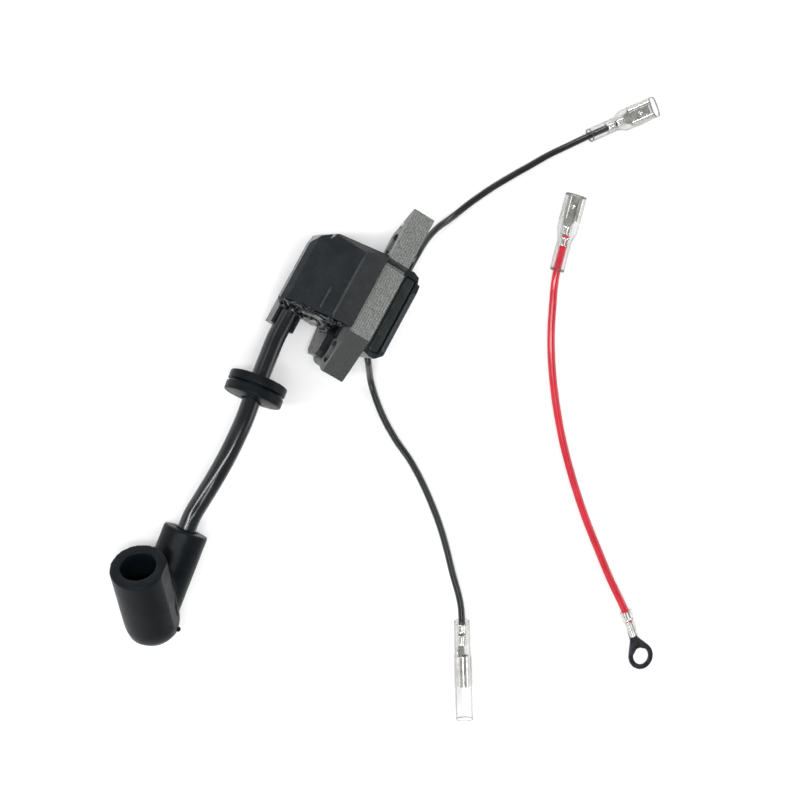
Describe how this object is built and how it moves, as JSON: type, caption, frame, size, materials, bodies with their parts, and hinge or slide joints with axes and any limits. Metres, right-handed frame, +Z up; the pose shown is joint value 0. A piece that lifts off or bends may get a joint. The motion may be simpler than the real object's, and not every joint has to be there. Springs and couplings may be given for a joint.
{
  "type": "ignition coil",
  "caption": "Two-stroke flywheel ignition coil: U-shaped laminated core in a potted black case, plug lead with grommet and angled boot, sleeved low-tension leads, loose jumper lead.",
  "frame": {"origin": "centre of the coil body's footprint, on the surface it stands on", "axes": "+Z up; +Y along the lamination stack towards its upper mounting ear; +X across the stack, away from the large case half"},
  "size_m": [0.2272, 0.2861, 0.0357],
  "materials": {
    "core_steel": "stacked sheet edges with a thin lacquer",
    "rivet_steel": "plain",
    "case_plastic": "semi-gloss moulding",
    "epoxy": "glossy poured surface",
    "former_plastic": "moulded",
    "copper_wire": "enamelled copper",
    "board_laminate": "solder resist",
    "capacitor_coat": "dipped coat",
    "component_body": "moulded",
    "brass": "plain",
    "plug_lead_jacket": "smooth jacket",
    "black_rubber": "moulded",
    "spring_steel": "drawn wire",
    "black_wire": "insulation",
    "red_wire": "insulation",
    "tin_plate": "tin plated brass",
    "clear_vinyl": "clear vinyl"
  },
  "bodies": {
    "coil": {"core_stack": "core_steel", "upper_ear_rivet": "rivet_steel", "crossbar_rivet": "rivet_steel", "return_leg_rivet": "rivet_steel", "coil_case": "case_plastic", "potting_plug": "epoxy", "tray_potting": "epoxy", "primary_bobbin": "former_plastic", "primary_winding": "copper_wire", "secondary_former": "former_plastic", "secondary_winding": "copper_wire", "circuit_board": "board_laminate", "charge_capacitor": "capacitor_coat", "thyristor": "component_body", "rectifier_diode": "component_body", "spike_terminal": "brass", "ht_lead": "plug_lead_jacket", "upper_lead": "black_wire", "upper_spade_terminal": "tin_plate", "lower_lead": "black_wire", "lower_bullet_socket": "tin_plate"},
    "grommet": {"lead_grommet": "black_rubber"},
    "plug_boot": {"spark_plug_boot": "black_rubber", "boot_contact_spring": "spring_steel"},
    "upper_sleeve": {"upper_spade_sleeve": "clear_vinyl"},
    "lower_sleeve": {"lower_bullet_sleeve": "clear_vinyl"},
    "jumper": {"jumper_lead": "red_wire", "jumper_spade_terminal": "tin_plate", "jumper_ring_terminal": "tin_plate"},
    "jumper_sleeve": {"jumper_spade_sleeve": "clear_vinyl"}
  },
  "joints": [
    {"name": "grommet_slide", "type": "slide", "parent": "coil", "child": "grommet", "axis": [0.1187, -0.9894, 0.0841], "range_m": [-0.008, 0.01]},
    {"name": "boot_swivel", "type": "hinge", "parent": "coil", "child": "plug_boot", "pos_m": [-0.00779, -0.11019, 0.0139], "axis": [-0.1606, 0.982, 0.0991], "range_deg": [-20, 125]},
    {"name": "upper_sleeve_slide", "type": "slide", "parent": "coil", "child": "upper_sleeve", "axis": [-0.6054, -0.796, 0], "range_m": [0, 0.012]},
    {"name": "lower_sleeve_slide", "type": "slide", "parent": "coil", "child": "lower_sleeve", "axis": [-0.527, 0.8498, 0], "range_m": [0, 0.006]},
    {"name": "jumper_lift", "type": "slide", "parent": "coil", "child": "jumper", "axis": [0, 0, 1], "range_m": [0, 0.05]},
    {"name": "jumper_sleeve_slide", "type": "slide", "parent": "jumper", "child": "jumper_sleeve", "axis": [0.2487, -0.9686, 0], "range_m": [0, 0.006]}
  ]
}
